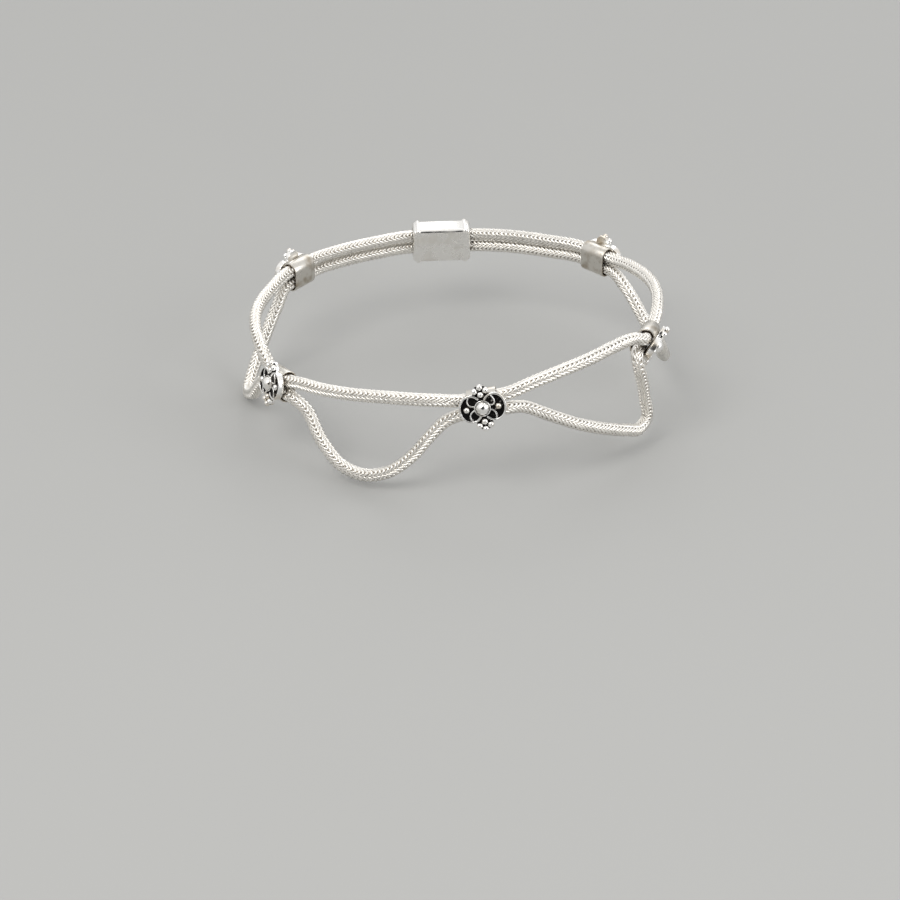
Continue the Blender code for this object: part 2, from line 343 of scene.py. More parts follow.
def bump(shader: Shader, height: Socket, distance: float, strength: float) -> None:
    """Let a height dent the surface.

    Args:
        shader: The material's shader.
        height: The height to read.
        distance: The height of 1, in metres.
        strength: How strongly it shows.
    """
    tree = shader.id_data
    node = tree.nodes.new("ShaderNodeBump")
    node.inputs["Distance"].default_value = distance
    node.inputs["Strength"].default_value = strength
    tree.links.new(height, node.inputs["Height"])
    tree.links.new(node.outputs["Normal"], shader.inputs["Normal"])


# Work at the bench: small steps with Blender's own tools


def new_object(name: str, data: bpy.types.ID) -> Object:
    """Make an object of its data and put it in the scene.

    Args:
        name: The object's name.
        data: Its mesh, curve, camera or light.

    Returns:
        The object.
    """
    item = bpy.data.objects.new(name, data)
    bpy.context.scene.collection.objects.link(item)
    return item


def lay_down_tools() -> None:
    """Leave edit mode and deselect everything."""
    if bpy.context.object and bpy.context.object.mode != "OBJECT":
        bpy.ops.object.mode_set(mode="OBJECT")
    bpy.ops.object.select_all(action="DESELECT")


def pick(*items: Object) -> None:
    """Select only some objects.

    Args:
        items: The objects, of which the first becomes active.
    """
    lay_down_tools()
    for item in items:
        item.select_set(True)
    bpy.context.view_layer.objects.active = items[0]


def open_mesh(item: Object, chosen: bool = True) -> None:
    """Go into edit mode.

    Args:
        item: The object.
        chosen: Whether all of its mesh is selected, or none.
    """
    pick(item)
    bpy.ops.object.mode_set(mode="EDIT")
    bpy.ops.mesh.select_all(action="SELECT" if chosen else "DESELECT")


def turn_outwards(item: Object) -> None:
    """Turn every shell of a mesh to face out.

    Args:
        item: The object.
    """
    open_mesh(item)
    bpy.ops.mesh.normals_make_consistent(inside=False)
    bpy.ops.object.mode_set(mode="OBJECT")


def settle(item: Object) -> None:
    """Apply an object's place, turn and scale to its mesh."""
    pick(item)
    bpy.ops.object.transform_apply(location=True, rotation=True, scale=True)


def apply_modifiers(item: Object) -> None:
    """Apply all modifiers of an object in their order.

    Args:
        item: The object.
    """
    pick(item)
    for modifier in list(item.modifiers):
        bpy.ops.object.modifier_apply(modifier=modifier.name)


def hoop(name: str, width: float, height: float, steps: int, place: Vector, filled: bool = False) -> Object:
    """Lay down an oval outline, flat on the bench.

    Args:
        name: The object's name.
        width: Its size across.
        height: Its size up.
        steps: Corners.
        place: Its middle.
        filled: Whether it is a flat disc.

    Returns:
        The outline, with its place in its mesh.
    """
    lay_down_tools()
    fill = "NGON" if filled else "NOTHING"
    bpy.ops.mesh.primitive_circle_add(vertices=steps, radius=0.5, fill_type=fill, location=place)
    item = bpy.context.object
    item.name = name
    item.scale = (width, height, 1)
    settle(item)
    return item


def bent_wire(name: str, corners: list[Vector], steps: int = 5) -> Object:
    """Lay a smooth open line through its corners.

    Args:
        name: The object's name.
        corners: Where it goes.
        steps: Edges from one corner to the next.

    Returns:
        The line as a mesh of edges.
    """
    curve = bpy.data.curves.new(name, "CURVE")
    curve.dimensions = "3D"
    curve.resolution_u = steps
    spline = curve.splines.new("BEZIER")
    spline.bezier_points.add(len(corners) - 1)
    for target, corner in zip(spline.bezier_points, corners):
        target.co = corner
        target.handle_left_type = target.handle_right_type = "AUTO"
    pick(new_object(name, curve))
    bpy.ops.object.convert(target="MESH")
    return bpy.context.object


def keep_arc(item: Object, middle: Pair, kept: Callable[[float], bool]) -> None:
    """Delete the corners of an outline outside an arc.

    Args:
        item: The outline.
        middle: The point that the angles are taken round.
        kept: Tells whether a corner at this angle stays.
    """
    open_mesh(item, False)
    bpy.ops.object.mode_set(mode="OBJECT")
    for vert in item.data.vertices:
        angle = math.atan2(vert.co.y - middle[1], vert.co.x - middle[0])
        vert.select = not kept(angle)
    bpy.ops.object.mode_set(mode="EDIT")
    bpy.ops.mesh.delete(type="VERT")
    bpy.ops.object.mode_set(mode="OBJECT")


def raise_wall(item: Object, height: float) -> None:
    """Pull an outline or a disc straight up from the bench.

    Args:
        item: The outline or disc.
        height: How far.
    """
    open_mesh(item)
    pull = {"value": (0, 0, height)}
    if item.data.polygons:
        bpy.ops.mesh.extrude_region_move(TRANSFORM_OT_translate=pull)
    else:
        bpy.ops.mesh.extrude_edges_move(TRANSFORM_OT_translate=pull)
    turn_outwards(item)


def thicken(item: Object, thickness: float, side: float = 0.0) -> None:
    """Give a wall its thickness.

    Args:
        item: The wall.
        thickness: How thick it gets.
        side: -1 to grow against its normals, 0 to both sides.
    """
    solid = item.modifiers.new("thickness", "SOLIDIFY")
    solid.thickness = thickness
    solid.offset = side
    solid.use_even_offset = True
    apply_modifiers(item)
    turn_outwards(item)


def soften(item: Object, width: float, steps: int = 3, angle: float = 40.0) -> None:
    """Round the sharp edges and shade the rest smoothly.

    Args:
        item: The piece.
        width: How far each rounding reaches.
        steps: Faces across a rounding.
        angle: Edges sharper than this are rounded, in degrees.
    """
    rounding = item.modifiers.new("rounding", "BEVEL")
    rounding.width = width
    rounding.segments = steps
    rounding.limit_method = "ANGLE"
    rounding.angle_limit = math.radians(angle)
    apply_modifiers(item)
    smooth(item)


def smooth(item: Object, angle: float = 38.0) -> None:
    """Shade smoothly, apart from edges sharper than an angle in degrees."""
    pick(item)
    bpy.ops.object.shade_smooth_by_angle(angle=math.radians(angle))


def ball(name: str, width: float, height: float, place: Vector, segments: int, rings: int) -> Object:
    """Set a ball or a flattened one.

    Args:
        name: The object's name.
        width: Its diameter on the bench.
        height: Its height.
        place: Its middle.
        segments: Sides round it.
        rings: Rows up it.

    Returns:
        The ball, with its place in its mesh.
    """
    lay_down_tools()
    bpy.ops.mesh.primitive_uv_sphere_add(segments=segments, ring_count=rings, radius=0.5, location=place)
    item = bpy.context.object
    item.name = name
    item.scale = (width, width, height)
    settle(item)
    smooth(item, 80)
    return item


def cut(item: Object, tool: Object, kind: Cut) -> None:
    """Add a tool to a piece or take it away.

    Args:
        item: The piece.
        tool: The tool, which is used up.
        kind: What the tool does.
    """
    step = item.modifiers.new(tool.name, "BOOLEAN")
    step.operation = kind.value
    step.solver = "EXACT"
    step.object = tool
    apply_modifiers(item)
    bpy.data.objects.remove(tool, do_unlink=True)


def join(name: str, items: list[Object]) -> Object:
    """Join pieces into one object that keeps every finish.

    Args:
        name: The object's name.
        items: The pieces.

    Returns:
        The object.
    """
    pick(*items)
    bpy.ops.object.join()
    item = bpy.context.object
    item.name = name
    item.data.name = name
    return item


def dress(item: Object, *finishes: Material) -> None:
    """Replace an object's materials.

    Args:
        item: The object.
        finishes: Its new materials.
    """
    item.data.materials.clear()
    for finish in finishes:
        item.data.materials.append(finish)


# The loop, its stations and the chains' routes, as in the part's source


@dataclass(frozen=True)
class Station:
    """A fitting's place and attitude; height is a share of the worn rise."""

    name: str
    turn: float
    height: float
    yaw: float = 0.0
    pitch: float = 0.0
    roll: float = 0.0


@dataclass(frozen=True)
class Way:
    """A point between two stations, in shares of the named sizes."""

    share: float
    lift: float
    flare: float = 0.0


@dataclass(frozen=True)
class Span:
    """The ways of both chains from one station to the next."""

    upper: tuple[Way, ...]
    lower: tuple[Way, ...]


CLASP = Station("clasp", -176, 0.2)
ORNAMENTS = (
    Station("ornament_back_left", -130, 0.22),
    Station("ornament_left", -55.2, -0.19, -8.8, 14, 12),
    Station("ornament_centre", 6.0, 0.33, -9, 16, 10.5),
    Station("ornament_right", 63, 0.59, 7, -27, -12),
    Station("ornament_back_right", 138, 0.35),
)

BESIDE = (Way(0.35, 0.0), Way(0.65, 0.0))
TAUT = (Way(0.22, 0.25), Way(0.5, 0.55), Way(0.78, 0.25))
PLAIN_SWAG = (
    Way(0.19, -0.16), Way(0.32, -0.55, 0.5), Way(0.5, -0.85, 1.0), Way(0.68, -0.55, 0.5),
    Way(0.81, -0.16),
)

SPANS = (
    Span(BESIDE, BESIDE),
    Span(
        (Way(0.22, 0.25), Way(0.5, 0.5, 0.18), Way(0.78, 0.2)),
        (
            Way(0.19, -0.16), Way(0.32, -0.58, 0.5), Way(0.5, -0.93, 1.0), Way(0.68, -0.66, 0.55),
            Way(0.81, -0.2),
        ),
    ),
    Span(
        (Way(0.16, 0.2), Way(0.3, 0.28), Way(0.45, 0.37), Way(0.62, 0.45), Way(0.83, 0.2)),
        (
            Way(0.19, -0.13), Way(0.33, -0.525, 0.6), Way(0.44, -0.8, 0.95), Way(0.54, -0.9, 1.0),
            Way(0.64, -0.83, 0.9), Way(0.73, -0.6, 0.6), Way(0.8, -0.3, 0.3), Way(0.87, -0.08),
        ),
    ),
    Span(
        (Way(0.22, 0.76), Way(0.36, 1.12), Way(0.51, 1.24), Way(0.66, 1.27, 0.05), Way(0.82, 0.96, 0.3)),
        (
            Way(0.16, -0.02), Way(0.29, -0.245, 0.2), Way(0.42, -0.485, 0.5), Way(0.58, -0.74, 0.7),
            Way(0.72, -0.935, 0.9), Way(0.84, -1.075, 1.0), Way(0.92, -1.03, 0.95),
            Way(0.906, -0.665, 0.76), Way(0.873, -0.444, 0.87), Way(0.843, -0.239, 0.88),
            Way(0.821, -0.077, 0.86), Way(0.82, 0.03, 0.71), Way(0.841, 0.09, 0.44),
        ),
    ),
    Span(TAUT, PLAIN_SWAG),
    Span(BESIDE, BESIDE),
)


@dataclass(frozen=True)
class Loop:
    """The ankle loop and the smooth routes that the chains take round it.

    Its lengths are those of the part's source, in metres.
    """

    length: float = 79.6 * MM
    width: float = 68.0 * MM
    rise: float = 10.0 * MM
    taut_lift: float = 2.4 * MM
    swag_drop: float = 14.0 * MM
    swag_flare: float = 2.5 * MM
    pitch: float = 2.7 * MM
    lead: float = 0.8 * MM
    sleeve: float = 5.6 * MM
    clasp: float = 12.0 * MM
    socket: float = 3.0 * MM
    strand_radius: float = 1.25 * MM
    clearance: float = 0.25 * MM

    @property
    def bore(self) -> float:
        """Radius of what a chain passes through."""
        return self.strand_radius + self.clearance

    def outward(self, turn: float) -> Vector:
        """Return the direction that a turn faces."""
        angle = math.radians(turn)
        return Vector((math.sin(angle), -math.cos(angle), 0))

    def point(self, turn: float, flare: float = 0.0) -> Vector:
        """Find a point of the loop.

        Args:
            turn: The way it faces, in degrees.
            flare: How far it stands out, in metres.

        Returns:
            The point, at height 0.
        """
        out = self.outward(turn)
        a, b = self.length / 2, self.width / 2
        reach = math.hypot(a * out.x, b * out.y)
        return Vector((a * a * out.x / reach, b * b * out.y / reach, 0)) + out * flare

    def seat(self, station: Station) -> Matrix:
        """Find the place of a fitting.

        Args:
            station: The station that it sits at.

        Returns:
            The matrix that takes it there from the origin.
        """
        place = self.point(station.turn)
        place.z = station.height * self.rise
        return (
            Matrix.Translation(place)
            @ Matrix.Rotation(math.radians(station.turn + station.yaw), 4, "Z")
            @ Matrix.Rotation(math.radians(-station.pitch), 4, "X")
            @ Matrix.Rotation(math.radians(-station.roll), 4, "Y")
        )

    def way_point(self, first: Station, second: Station, way: Way, level: Level) -> Vector:
        """Place a way between two stations.

        Args:
            first: The station that the chain comes from.
            second: The one that it goes to.
            way: The way between them.
            level: Which chain.

        Returns:
            The point that the chain is laid through.
        """
        turn = first.turn + (second.turn - first.turn) * way.share
        height = first.height + (second.height - first.height) * way.share
        lift = way.lift * (self.taut_lift if level is Level.UPPER else self.swag_drop)
        point = self.point(turn, way.flare * self.swag_flare)
        point.z = height * self.rise + level.value * self.pitch / 2 + lift
        return point

    def knots(self, level: Level) -> list[Vector]:
        """List the points that a chain is laid through.

        Args:
            level: Which chain.

        Returns:
            The points, from one end of the clasp round to the other.
        """
        stations = (CLASP, *ORNAMENTS, replace(CLASP, turn=CLASP.turn + 360))
        end = self.clasp / 2
        half = self.sleeve / 2
        up = level.value * self.pitch / 2
        knots: list[Vector] = []
        for index, station in enumerate(stations):
            seat = self.seat(station)
            if index == 0:
                offsets = (end - self.socket + self.clearance, end + self.lead)
            elif index == len(stations) - 1:
                offsets = (-end - self.lead, self.socket - self.clearance - end)
            else:
                offsets = (-half - self.lead, -half, half, half + self.lead)
            knots += [seat @ Vector((along, 0, up)) for along in offsets]
            if index < len(SPANS):
                ways = SPANS[index].upper if level is Level.UPPER else SPANS[index].lower
                knots += [self.way_point(station, stations[index + 1], way, level) for way in ways]
        return knots

    def slopes(self, knots: list[Vector]) -> list[Vector]:
        """Find the direction of the smooth curve at each knot.

        Args:
            knots: The points that it goes through.

        Returns:
            A direction for each of them.
        """
        slopes = [(knots[1] - knots[0]).normalized()]
        for before, here, after in zip(knots, knots[1:], knots[2:]):
            back, ahead = here - before, after - here
            slope = back / back.length**2 + ahead / ahead.length**2
            slopes.append(slope * back.length * ahead.length / (back.length + ahead.length))
        slopes.append((knots[-1] - knots[-2]).normalized())
        return slopes

    def route(self, level: Level, steps: int = 24) -> np.ndarray:
        """Follow a chain's smooth curve.

        Args:
            level: Which chain.
            steps: Samples from one knot to the next.

        Returns:
            The points, one row each, in metres.
        """
        knots = self.knots(level)
        slopes = self.slopes(knots)
        points = []
        for start, end, first, last in zip(knots, knots[1:], slopes, slopes[1:]):
            span = (end - start).length
            for step in range(steps):
                share = step / steps
                rest = 1 - share
                points.append(
                    start * (rest * rest * (1 + 2 * share))
                    + end * (share * share * (1 + 2 * rest))
                    + first * (span * rest * rest * share)
                    - last * (span * share * share * rest)
                )
        points.append(knots[-1])
        return np.array([tuple(point) for point in points])


# The chains

# How far the weave is turned about its chain, in degrees, at shares of its length
TURNS = {
    Level.UPPER: ((0.0, 36.0), (1.0, 38.0)),
    Level.LOWER: ((0.0, 38.0), (0.42, 40.0), (0.46, 34.0), (0.58, 40.0), (0.645, 72.0), (1.0, 74.0)),
}


@dataclass
class WovenChain:
    """A loop-in-loop chain: wire rings, every second one a quarter turn round."""

    node: str
    level: Level
    loop: Loop = Loop()
    reach: float = 1.05 * MM
    waist: float = 0.8 * MM
    fold: float = 2.2 * MM
    wire: float = 0.275 * MM
    spacing: float = 0.93 * MM
    crowding: float = 0.25
    ring_steps: int = 12
    wire_steps: int = 5
    core_radius: float = 0.4 * MM
    core_stride: int = 4
    sample: float = 0.2 * MM
    twist: float = 5.0
    twist_length: float = 31 * MM
    turn_jitter: float = 1.5
    slip_jitter: float = 0.02 * MM
    sheen_jitter: float = 0.05
    # Where the wire's painted shade begins near the chain's axis, and how far it takes to fade
    heart: float = 0.8 * MM
    heart_fade: float = 0.45 * MM
    seed: int = 7

    def ring(self) -> tuple[np.ndarray, list[tuple[int, ...]]]:
        """Model one ring: a torus folded like a saddle.

        Returns:
            Its points, with z along the chain, and its faces.
        """
        lay_down_tools()
        steps = {"major_segments": self.ring_steps, "minor_segments": self.wire_steps}
        bpy.ops.mesh.primitive_torus_add(major_radius=1.0, minor_radius=self.wire, **steps)
        item = bpy.context.object
        points = np.empty(len(item.data.vertices) * 3)
        item.data.vertices.foreach_get("co", points)
        faces = [tuple(face.vertices) for face in item.data.polygons]
        bpy.data.objects.remove(item, do_unlink=True)
        return self.folded(points.reshape(-1, 3)), faces

    def folded(self, points: np.ndarray) -> np.ndarray:
        """Fold a flat torus of radius 1 into the ring's shape.

        Args:
            points: The torus's points.

        Returns:
            The folded points.
        """
        angle = np.arctan2(points[:, 1], points[:, 0])
        angle -= self.crowding * np.sin(2 * angle)
        proud = np.hypot(points[:, 0], points[:, 1]) - 1.0
        level = points[:, 2]
        path = self.path(angle)
        nudge = 1e-4
        ahead = self.path(angle + nudge) - self.path(angle - nudge)
        ahead /= np.linalg.norm(ahead, axis=1)[:, None]
        outward = path * np.array([1.0, 1.0, 0.0])
        outward -= ahead * (outward * ahead).sum(1)[:, None]
        outward /= np.linalg.norm(outward, axis=1)[:, None]
        side = np.cross(ahead, outward)
        return path + outward * proud[:, None] - side * level[:, None]

    def path(self, angle: np.ndarray) -> np.ndarray:
        """Follow the wire's middle round one ring."""
        lift = self.fold / 2 * np.cos(2 * angle)
        return np.stack([self.reach * np.cos(angle), self.waist * np.sin(angle), lift], axis=1)

    def guides(self) -> tuple[np.ndarray, np.ndarray, np.ndarray, np.ndarray]:
        """Measure the route.

        Returns:
            Distances along it, its points, and its outward and sideways directions.
        """
        route = self.loop.route(self.level)
        travel = np.concatenate([[0.0], np.cumsum(np.linalg.norm(np.diff(route, axis=0), axis=1))])
        even = np.linspace(0, travel[-1], int(travel[-1] / self.sample))
        points = np.stack([np.interp(even, travel, route[:, axis]) for axis in range(3)], axis=1)
        ahead = np.gradient(points, axis=0)
        ahead /= np.linalg.norm(ahead, axis=1)[:, None]
        away = points / np.array([self.loop.length, self.loop.width, 1.0]) ** 2
        away[:, 2] = 0
        away -= ahead * (away * ahead).sum(1)[:, None]
        away /= np.linalg.norm(away, axis=1)[:, None]
        side = np.cross(ahead, away)
        return even, points, away, side

    def build(self, finish: Material) -> Object:
        """Weave the chain along its route.

        Args:
            finish: The wire's material.

        Returns:
            The chain as one mesh.
        """
        even, points, away, side = self.guides()
        ring, faces = self.ring()
        shuffle = np.random.default_rng(self.seed)
        shown = np.array(TURNS[self.level]).T
        half = self.spacing / 2
        count = int((even[-1] - self.fold) / half)
        starts = self.fold / 2 + np.arange(count) * half
        shapes = (ring, np.stack([-ring[:, 1], ring[:, 0], ring[:, 2]], axis=1))
        all_points, depth, sheen = [], [], []
        for index, start in enumerate(starts):
            shape = shapes[index % 2]
            jitter = shuffle.normal(0.0, 1.0, 3)
            turn = np.interp(start / even[-1], *shown)
            turn += self.twist * math.sin(start / self.twist_length) + self.turn_jitter * jitter[0]
            turn = math.radians(turn)
            across = shape[:, 0] * math.cos(turn) - shape[:, 1] * math.sin(turn)
            beside = shape[:, 0] * math.sin(turn) + shape[:, 1] * math.cos(turn)
            along = start + shape[:, 2] + jitter[1] * self.slip_jitter
            out = np.zeros((len(shape), 3))
            for axis in range(3):
                out[:, axis] = (
                    np.interp(along, even, points[:, axis])
                    + np.interp(along, even, away[:, axis]) * across
                    + np.interp(along, even, side[:, axis]) * beside
                )
            all_points.append(out)
            # Painted shade: the depth attribute darkens the wire as it nears the chain's axis.
            radius = np.hypot(shape[:, 0], shape[:, 1])
            depth.append(np.clip((radius - self.heart) / self.heart_fade, 0, 1))
            sheen.append(np.full(len(shape), 1.0 - self.sheen_jitter * abs(jitter[2])))
        name = self.node + "_weave"
        firsts = range(0, count * len(ring), len(ring))
        all_faces = [tuple(corner + first for corner in face) for first in firsts for face in faces]
        mesh = bpy.data.meshes.new(name)
        mesh.from_pydata(np.concatenate(all_points).tolist(), [], all_faces)
        mesh.shade_smooth()
        mesh.attributes.new("depth", "FLOAT", "POINT").data.foreach_set("value", np.concatenate(depth))
        tint = np.repeat(np.concatenate(sheen)[:, None], 4, axis=1)
        tint[:, 3] = 1.0
        mesh.attributes.new("sheen", "FLOAT_COLOR", "POINT").data.foreach_set("color", tint.ravel())
        mesh.materials.append(finish)
        item = new_object(name, mesh)
        turn_outwards(item)
        return item

    def core(self, finish: Material) -> Object:
        """Fill the heart of the weave with a dark tube, painted shade for the wires in there, which are too
        dense to see through.

        Args:
            finish: The dark material, a painted shade.

        Returns:
            A thin tube along the route.
        """
        name = self.node + "_core"
        curve = bpy.data.curves.new(name, "CURVE")
        curve.dimensions = "3D"
        curve.bevel_depth = self.core_radius
        curve.bevel_resolution = 1
        curve.use_fill_caps = True
        kept = self.guides()[1][:: self.core_stride]
        spline = curve.splines.new("POLY")
        spline.points.add(len(kept) - 1)
        for target, point in zip(spline.points, kept):
            target.co = (*point, 1.0)
        pick(new_object(name, curve))
        bpy.ops.object.convert(target="MESH")
        item = bpy.context.object
        dress(item, finish)
        return item


# The ornaments

# Each strip's way over the plate, from the ring outwards, in millimetres
STRIPS = {
    "upper_right": ((1.38, 0.5), (1.95, 0.42), (2.33, 0.72), (2.36, 1.2), (2.18, 1.7), (1.8, 2.3)),
    "lower_right": ((1.38, -0.45), (1.85, -0.6), (2.17, -0.91), (2.36, -1.35), (2.4, -1.95), (2.34, -2.3)),
    "upper_left": ((-1.38, 0.45), (-1.95, 0.53), (-2.5, 0.83), (-2.72, 1.4), (-2.62, 1.9), (-2.4, 2.3)),
    "lower_left": ((-1.38, -0.38), (-1.75, -0.4), (-2.27, -0.71), (-2.52, -1.35), (-2.4, -1.95), (-2.1, -2.3)),
}


@dataclass
class FlowerOrnament:
    """A plate with two rimmed lobes, curved strips, a domed ring and beads.

    The foot is how deep the strips and the ring stand in the plate, and a
    cluster's shares are of its reach.
    """

    loop: Loop = Loop()
    sleeve_wall: float = 0.3 * MM
    sleeve_rounding: float = 0.09 * MM
    plate_thickness: float = 0.6 * MM
    plate_rounding: float = 0.06 * MM
    foot: float = 0.1 * MM
    rim_height: float = 0.55 * MM
    rim_thickness: float = 0.42 * MM
    rim_rounding: float = 0.11 * MM
    lobe_spacing: float = 4.4 * MM
    lobe_width: float = 4.7 * MM
    lobe_height: float = 5.6 * MM
    lobe_open: Pair = (144.0, 221.0)
    ring_diameter: float = 3.14 * MM
    ring_thickness: float = 0.2 * MM
    ring_height: float = 0.85 * MM
    ring_rounding: float = 0.08 * MM
    dome_diameter: float = 2.62 * MM
    dome_height: float = 1.15 * MM
    dome_seat: float = 0.6 * MM
    strip_thickness: float = 0.27 * MM
    strip_height: float = 0.5 * MM
    strip_rounding: float = 0.1 * MM
    bead_diameter: float = 1.22 * MM
    bead_seat: float = 0.38 * MM
    lobe_bead: float = 3.05 * MM
    cluster_reach: float = 4.05 * MM
    cluster_foot: float = 0.65
    cluster_side: Pair = (0.265, 0.83)
    pad_diameter: float = 3.15 * MM
    round_steps: int = 48
    plate_steps: int = 56
    rim_steps: int = 90
    bead_steps: tuple[int, int] = (20, 12)
    dome_steps: tuple[int, int] = (40, 22)

    @property
    def back(self) -> float:
        """Level of the plate's back over the chains' axis."""
        return self.loop.bore + self.sleeve_wall / 2

    @property
    def front(self) -> float:
        """Level of the plate's front."""
        return self.back + self.plate_thickness

    def sleeve(self, silver: Material, bore: Material) -> Object:
        """Make the flat tube behind the plate.

        Args:
            silver: The finish outside.
            bore: The finish inside, a painted shade.

        Returns:
            The tube, along X.
        """
        outer = 2 * (self.loop.bore + self.sleeve_wall)
        half = self.loop.pitch / 2
        item = hoop("sleeve", outer, outer, self.round_steps, Vector((0, 0, 0)))
        for vert in item.data.vertices:
            vert.co.y += math.copysign(half, vert.co.y)
        raise_wall(item, self.loop.sleeve)
        thicken(item, self.sleeve_wall, -1.0)
        soften(item, self.sleeve_rounding, 2)
        dress(item, silver, bore)
        # Faces that look into the bore get the painted shade.
        for face in item.data.polygons:
            middle = min(max(face.center.y, -half), half)
            outward = Vector((face.center.x, face.center.y - middle, 0))
            if face.normal.dot(outward) < 0:
                face.material_index = 1
        item.location.x = -self.loop.sleeve / 2
        item.rotation_euler.y = math.radians(90)
        settle(item)
        return item

    def plate(self, silver: Material, black: Material) -> Object:
        """Cut the plate: two lobes and two pads in one outline.

        Args:
            silver: The finish of its edge and back.
            black: The finish of its front.

        Returns:
            The plate.
        """
        inset = self.rim_thickness / 2
        middle = self.cluster_reach - self.pad_diameter / 2 + self.bead_diameter / 4
        lobe = (self.lobe_width - inset, self.lobe_height - inset)
        pad = (self.pad_diameter, self.pad_diameter)
        ovals = [(*lobe, side * self.lobe_spacing / 2, 0.0) for side in (1, -1)]
        ovals += [(*pad, 0.0, side * middle) for side in (1, -1)]
        pieces = []
        for index, (width, height, x, y) in enumerate(ovals):
            place = Vector((x, y, self.back))
            pieces.append(hoop(f"plate_{index}", width, height, self.plate_steps, place, True))
            raise_wall(pieces[-1], self.plate_thickness)
        base, *others = pieces
        for other in others:
            cut(base, other, Cut.ADD)
        soften(base, self.plate_rounding, 2, 50)
        dress(base, silver, black)
        for face in base.data.polygons:
            flat = face.normal.z > 0.9
            if flat and face.center.z > self.front - self.plate_rounding:
                face.material_index = 1
        return base

    def rim(self, side: int) -> Object:
        """Bend the open C of wall round one lobe.

        Args:
            side: 1 for the right lobe, -1 for the left one.

        Returns:
            The rim.
        """
        across = side * self.lobe_spacing / 2
        place = Vector((across, 0, self.back))
        item = hoop(f"rim_{side}", self.lobe_width, self.lobe_height, self.rim_steps, place)
        first, last = (math.radians(angle) for angle in self.lobe_open)
        half_width, half_height = self.lobe_width / 2, self.lobe_height / 2

        def kept(angle: float) -> bool:
            """Tell whether a corner at this angle is outside the opening."""
            x, y = side * math.cos(angle), side * math.sin(angle)
            return not first < math.atan2(y / half_height, x / half_width) % (2 * math.pi) < last

        keep_arc(item, (across, 0.0), kept)
        raise_wall(item, self.plate_thickness + self.rim_height)
        thicken(item, self.rim_thickness)
        # The wall then stands inside the lobe's outline
        shrink = 1 - self.rim_thickness / self.lobe_width
        for vert in item.data.vertices:
            vert.co.x = across + (vert.co.x - across) * shrink
            vert.co.y *= shrink
        soften(item, self.rim_rounding)
        return item

    def ring(self) -> Object:
        """Make the collar round the dome."""
        outline = self.ring_diameter - self.ring_thickness
        item = hoop("ring", outline, outline, self.round_steps, Vector((0, 0, self.front - self.foot)))
        raise_wall(item, self.ring_height + self.foot)
        thicken(item, self.ring_thickness)
        soften(item, self.ring_rounding)
        return item

    def strip(self, name: str) -> Object:
        """Bend one curved strip and stand it on the plate.

        Args:
            name: Which strip.

        Returns:
            The strip.
        """
        level = self.front - self.foot
        item = bent_wire("strip_" + name, [Vector((x * MM, y * MM, level)) for x, y in STRIPS[name]])
        raise_wall(item, self.strip_height + self.foot)
        thicken(item, self.strip_thickness)
        soften(item, self.strip_rounding)
        return item

    def beads(self) -> list[Object]:
        """Set one bead in each lobe and four at the top and the bottom.

        Returns:
            The beads.
        """
        reach, width = self.cluster_reach, self.bead_diameter
        out, up = self.cluster_side
        places = [(side * self.lobe_bead, 0.0) for side in (1, -1)]
        for side in (1, -1):
            places += [(0.0, side * reach), (0.0, side * self.cluster_foot * reach)]
            places += [(across * out * reach, side * up * reach) for across in (1, -1)]
        level = self.front + self.bead_seat
        return [
            ball(f"bead_{index}", width, width, Vector((*place, level)), *self.bead_steps)
            for index, place in enumerate(places)
        ]

    def dome(self) -> Object:
        """Set the polished dome in its ring."""
        seat = Vector((0, 0, self.front + self.dome_seat))
        return ball("dome", self.dome_diameter, 2 * self.dome_height, seat, *self.dome_steps)

    def build(self, silver: Material, black: Material, satin: Material, bore: Material) -> Object:
        """Make the whole ornament once, at its own origin.

        Args:
            silver: The polished finish.
            black: The oxidised finish of the recesses.
            satin: The duller finish outside the sleeve.
            bore: The brown painted shade inside the sleeve.

        Returns:
            The ornament, with -Y outward and +Z up.
        """
        plate = self.plate(silver, black)
        bright = [self.ring(), self.dome(), *self.beads()]
        bright += [self.rim(side) for side in (1, -1)]
        bright += [self.strip(name) for name in STRIPS]
        for item in bright:
            dress(item, silver)
        flower = join("flower", [plate, *bright, self.sleeve(satin, bore)])
        flower.rotation_euler.x = math.radians(90)
        settle(flower)
        return flower

    def place(self, model: Object, station: Station) -> Object:
        """Copy the ornament to a station.

        Args:
            model: The ornament at its own origin.
            station: Where it goes.

        Returns:
            The copy, with its place in its own mesh.
        """
        mesh = model.data.copy()
        mesh.transform(self.loop.seat(station))
        name = station.name + "_flower"
        mesh.name = name
        return new_object(name, mesh)


# The clasp


